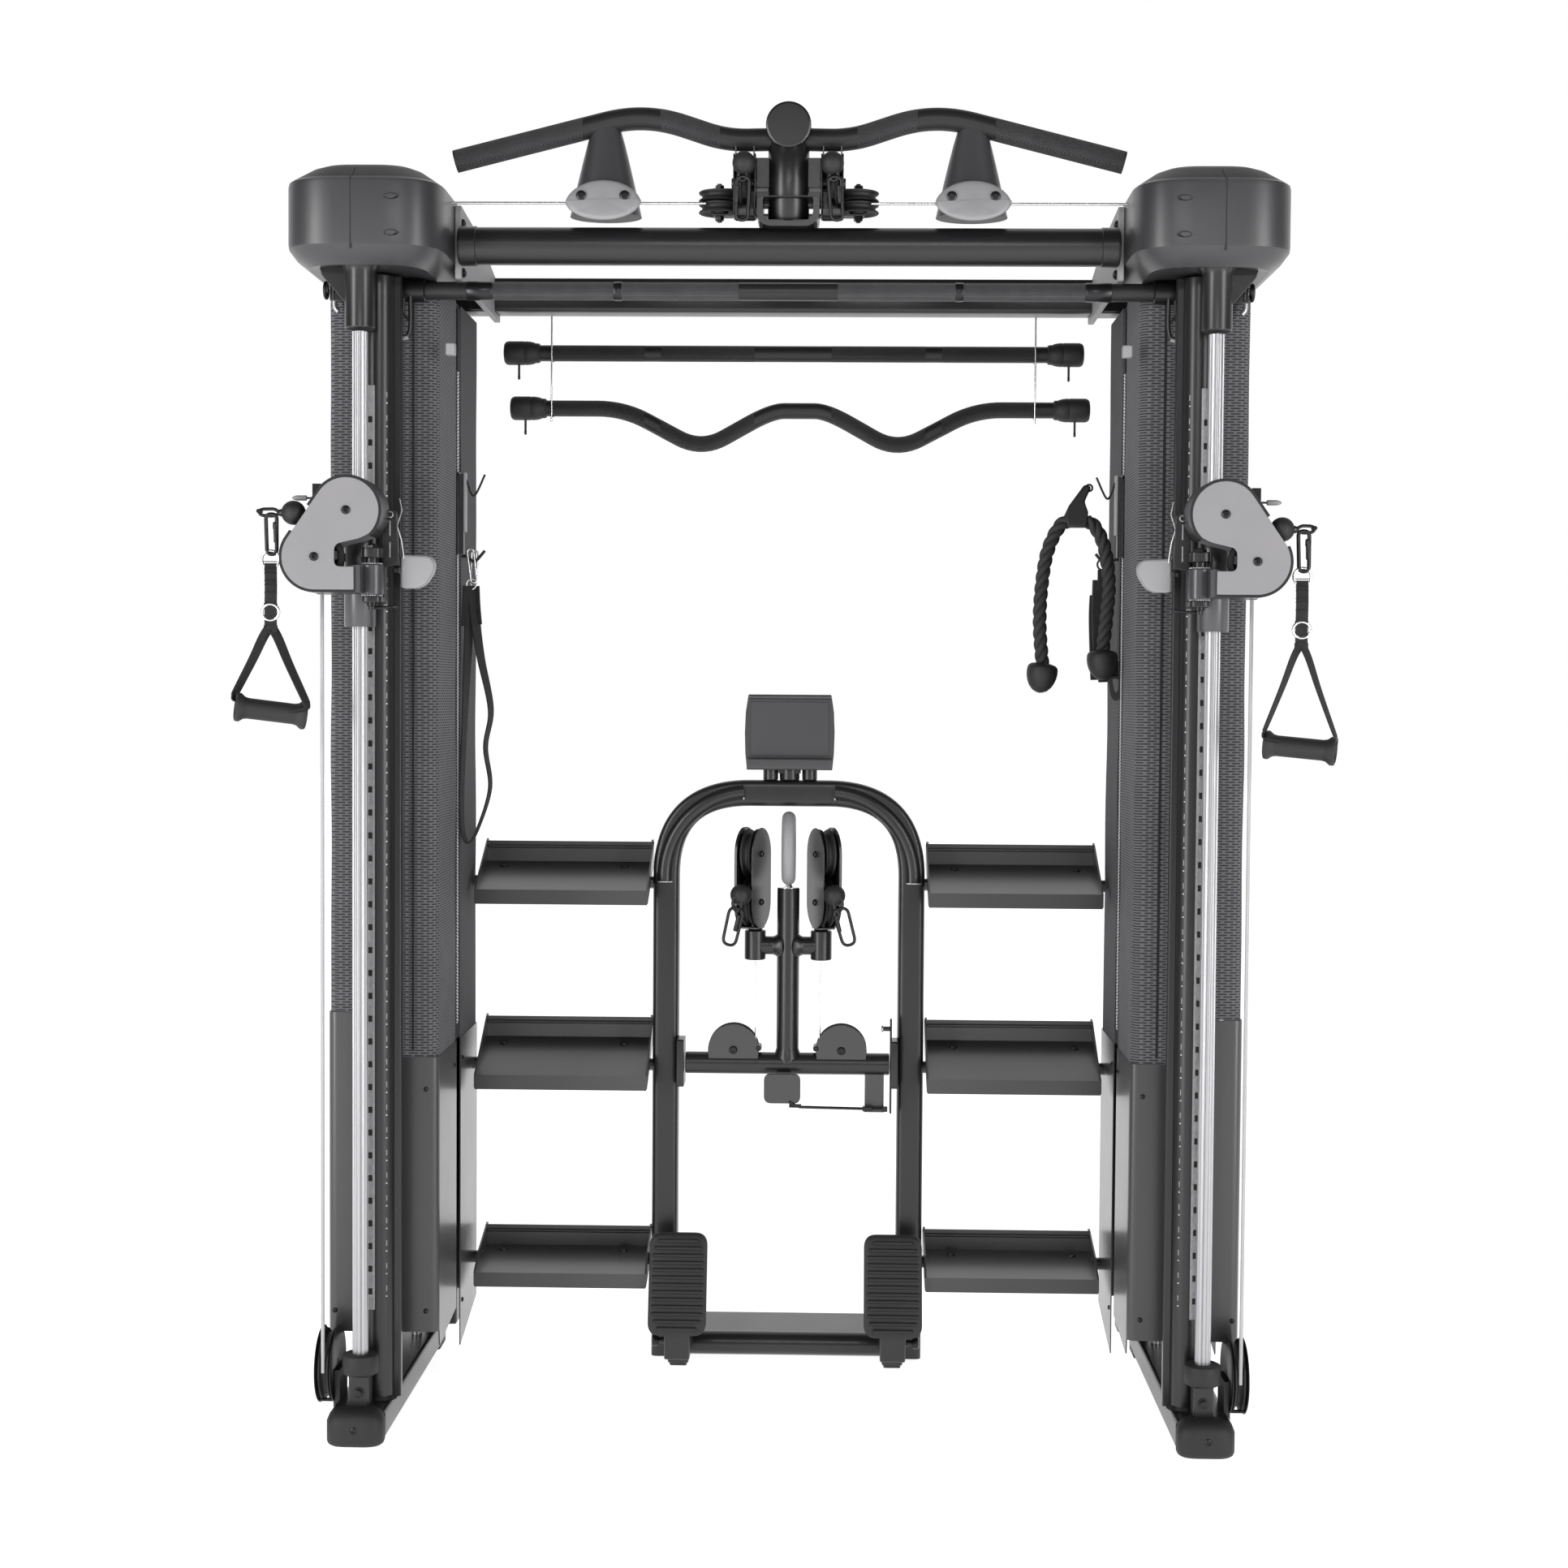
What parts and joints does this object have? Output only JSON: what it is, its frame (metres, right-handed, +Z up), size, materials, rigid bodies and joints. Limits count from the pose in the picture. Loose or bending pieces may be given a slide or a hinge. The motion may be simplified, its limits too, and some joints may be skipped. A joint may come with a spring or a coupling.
{
  "type": "cable crossover machine",
  "caption": "Cable crossover machine: two covered weight towers with sliding swivel arms, a sliding bar, a pull-up bar and a centre frame with column and trays.",
  "frame": {"origin": "on the floor, in the middle of the machine's footprint", "axes": "+Z up, +X to the right as the user faces the machine, +Y to the back"},
  "size_m": [1.722, 0.744, 2.141],
  "materials": {
    "powder_black": "satin powder coat",
    "cover_grey": "satin charcoal powder coat on sheet steel",
    "housing_grey": "fine-textured moulded plastic",
    "mesh_fabric": "open woven mesh",
    "bright_metal": "bright drawn",
    "arm_grey": "satin grey powder coat",
    "light_grey": "soft-touch grey",
    "rubber_black": "matt",
    "weight_iron": "black painted",
    "cable_grey": "nylon-coated"
  },
  "bodies": {
    "root": {"left_base_foot": "powder_black", "left_guide_rod": "bright_metal", "left_front_post": "powder_black", "left_height_strip": "bright_metal", "left_top_housing": "housing_grey", "left_rear_upright": "powder_black", "left_mesh_shroud": "mesh_fabric", "left_steel_cover_front": "cover_grey", "left_steel_cover_rear": "cover_grey", "left_tower_cable": "cable_grey", "foot_plate_left": "rubber_black", "tray_top_left": "cover_grey", "tray_middle_left": "cover_grey", "tray_lower_left": "cover_grey", "right_base_foot": "powder_black", "right_guide_rod": "bright_metal", "right_front_post": "powder_black", "right_height_strip": "bright_metal", "right_top_housing": "housing_grey", "right_rear_upright": "powder_black", "right_mesh_shroud": "mesh_fabric", "right_steel_cover_front": "cover_grey", "right_steel_cover_rear": "cover_grey", "right_tower_cable": "cable_grey", "foot_plate_right": "rubber_black", "tray_top_right": "cover_grey", "tray_middle_right": "cover_grey", "tray_lower_right": "cover_grey", "front_beam": "powder_black", "rear_beam": "powder_black", "pull_up_bar": "powder_black", "straight_bar": "powder_black", "curl_bar": "powder_black", "centre_arch": "powder_black", "triceps_rope": "rubber_black"},
    "left_carriage": {"left_carriage": "powder_black"},
    "left_height_lever": {"left_height_lever": "light_grey"},
    "left_arm": {"left_swivel_arm": "arm_grey"},
    "left_arm_pulley_upper": {"left_arm_pulley_upper": "rubber_black"},
    "left_arm_pulley_lower": {"left_arm_pulley_lower": "rubber_black"},
    "left_cable_end": {"left_cable_end": "rubber_black"},
    "left_handle": {"left_handle": "rubber_black"},
    "left_weight_stack": {"left_weight_stack": "weight_iron"},
    "left_bottom_pulley": {"left_bottom_pulley": "rubber_black"},
    "left_top_pulley": {"top_pulley_left": "rubber_black"},
    "right_carriage": {"right_carriage": "powder_black"},
    "right_height_lever": {"right_height_lever": "light_grey"},
    "right_arm": {"right_swivel_arm": "arm_grey"},
    "right_arm_pulley_upper": {"right_arm_pulley_upper": "rubber_black"},
    "right_arm_pulley_lower": {"right_arm_pulley_lower": "rubber_black"},
    "right_cable_end": {"right_cable_end": "rubber_black"},
    "right_handle": {"right_handle": "rubber_black"},
    "right_weight_stack": {"right_weight_stack": "weight_iron"},
    "right_bottom_pulley": {"right_bottom_pulley": "rubber_black"},
    "right_top_pulley": {"top_pulley_right": "rubber_black"},
    "sliding_bar": {"sliding_bar": "powder_black"},
    "centre_column": {"centre_column": "powder_black"},
    "column_block_left": {"column_block_left": "powder_black"},
    "column_block_right": {"column_block_right": "powder_black"},
    "tablet_holder": {"tablet_holder": "cover_grey"}
  },
  "joints": [
    {"name": "left_carriage_height", "type": "slide", "parent": "root", "child": "left_carriage", "axis": [0, 0, 1], "range_m": [-1.036, 0.185], "deforming": ["left_tower_cable"]},
    {"name": "left_height_lever_squeeze", "type": "hinge", "parent": "left_carriage", "child": "left_height_lever", "pos_m": [-0.606, -0.28, 1.397], "axis": [0, 1, 0], "range_deg": [-12, 0], "stiffness_Nm_per_rad": 1},
    {"name": "left_arm_swivel", "type": "hinge", "parent": "left_carriage", "child": "left_arm", "pos_m": [-0.645, -0.323, 1.383], "axis": [0, 0, 1], "range_deg": [0, 90]},
    {"name": "left_arm_pulley_upper_spin", "type": "hinge", "parent": "left_arm", "child": "left_arm_pulley_upper", "pos_m": [-0.676, -0.346, 1.481], "axis": [0, 1, 0], "continuous": true},
    {"name": "left_arm_pulley_lower_spin", "type": "hinge", "parent": "left_arm", "child": "left_arm_pulley_lower", "pos_m": [-0.7255, -0.346, 1.409], "axis": [0, 1, 0], "continuous": true},
    {"name": "left_cable_pull", "type": "slide", "parent": "left_arm", "child": "left_cable_end", "axis": [-1, 0, 0], "range_m": [0, 0.9]},
    {"name": "left_handle_swing", "type": "hinge", "parent": "left_cable_end", "child": "left_handle", "pos_m": [-0.799, -0.346, 1.4627], "axis": [0, 1, 0], "range_deg": [0, 60]},
    {"name": "left_stack_lift", "type": "slide", "parent": "root", "child": "left_weight_stack", "axis": [0, 0, 1], "range_m": [0, 0.45]},
    {"name": "left_bottom_pulley_spin", "type": "hinge", "parent": "root", "child": "left_bottom_pulley", "pos_m": [-0.737, -0.208, 0.103], "axis": [1, 0, 0], "continuous": true},
    {"name": "left_top_pulley_spin", "type": "hinge", "parent": "root", "child": "left_top_pulley", "pos_m": [-0.07, -0.208, 2.02], "axis": [1, 0, 0], "continuous": true},
    {"name": "right_carriage_height", "type": "slide", "parent": "root", "child": "right_carriage", "axis": [0, 0, 1], "range_m": [-1.036, 0.185], "deforming": ["right_tower_cable"]},
    {"name": "right_height_lever_squeeze", "type": "hinge", "parent": "right_carriage", "child": "right_height_lever", "pos_m": [0.606, -0.28, 1.397], "axis": [0, 1, 0], "range_deg": [0, 12], "stiffness_Nm_per_rad": 1},
    {"name": "right_arm_swivel", "type": "hinge", "parent": "right_carriage", "child": "right_arm", "pos_m": [0.645, -0.323, 1.383], "axis": [0, 0, 1], "range_deg": [-90, 0]},
    {"name": "right_arm_pulley_upper_spin", "type": "hinge", "parent": "right_arm", "child": "right_arm_pulley_upper", "pos_m": [0.676, -0.346, 1.481], "axis": [0, 1, 0], "continuous": true},
    {"name": "right_arm_pulley_lower_spin", "type": "hinge", "parent": "right_arm", "child": "right_arm_pulley_lower", "pos_m": [0.7255, -0.346, 1.409], "axis": [0, 1, 0], "continuous": true},
    {"name": "right_cable_pull", "type": "slide", "parent": "right_arm", "child": "right_cable_end", "axis": [1, 0, 0], "range_m": [0, 0.9]},
    {"name": "right_handle_swing", "type": "hinge", "parent": "right_cable_end", "child": "right_handle", "pos_m": [0.799, -0.346, 1.4447], "axis": [0, 1, 0], "range_deg": [-60, 0]},
    {"name": "right_stack_lift", "type": "slide", "parent": "root", "child": "right_weight_stack", "axis": [0, 0, 1], "range_m": [0, 0.45]},
    {"name": "right_bottom_pulley_spin", "type": "hinge", "parent": "root", "child": "right_bottom_pulley", "pos_m": [0.737, -0.208, 0.103], "axis": [1, 0, 0], "continuous": true},
    {"name": "right_top_pulley_spin", "type": "hinge", "parent": "root", "child": "right_top_pulley", "pos_m": [0.07, -0.208, 2.02], "axis": [1, 0, 0], "continuous": true},
    {"name": "sliding_bar_height", "type": "slide", "parent": "root", "child": "sliding_bar", "axis": [0, 0, 1], "range_m": [-1.52, 0]},
    {"name": "column_swing", "type": "hinge", "parent": "root", "child": "centre_column", "pos_m": [0, 0.192, 0.54], "axis": [1, 0, 0], "range_deg": [0, 75]},
    {"name": "column_block_left_swivel", "type": "hinge", "parent": "centre_column", "child": "column_block_left", "pos_m": [-0.059, 0.192, 0.78], "axis": [0, 0, 1], "range_deg": [-45, 25]},
    {"name": "column_block_right_swivel", "type": "hinge", "parent": "centre_column", "child": "column_block_right", "pos_m": [0.059, 0.192, 0.78], "axis": [0, 0, 1], "range_deg": [-25, 45]},
    {"name": "tablet_holder_tilt", "type": "hinge", "parent": "root", "child": "tablet_holder", "pos_m": [0, 0.232, 1.059], "axis": [1, 0, 0], "range_deg": [-20, 0]}
  ],
  "couplings": [
    {"joint": "left_cable_pull", "follows": "left_stack_lift", "ratio": 2},
    {"joint": "right_cable_pull", "follows": "right_stack_lift", "ratio": 2}
  ]
}
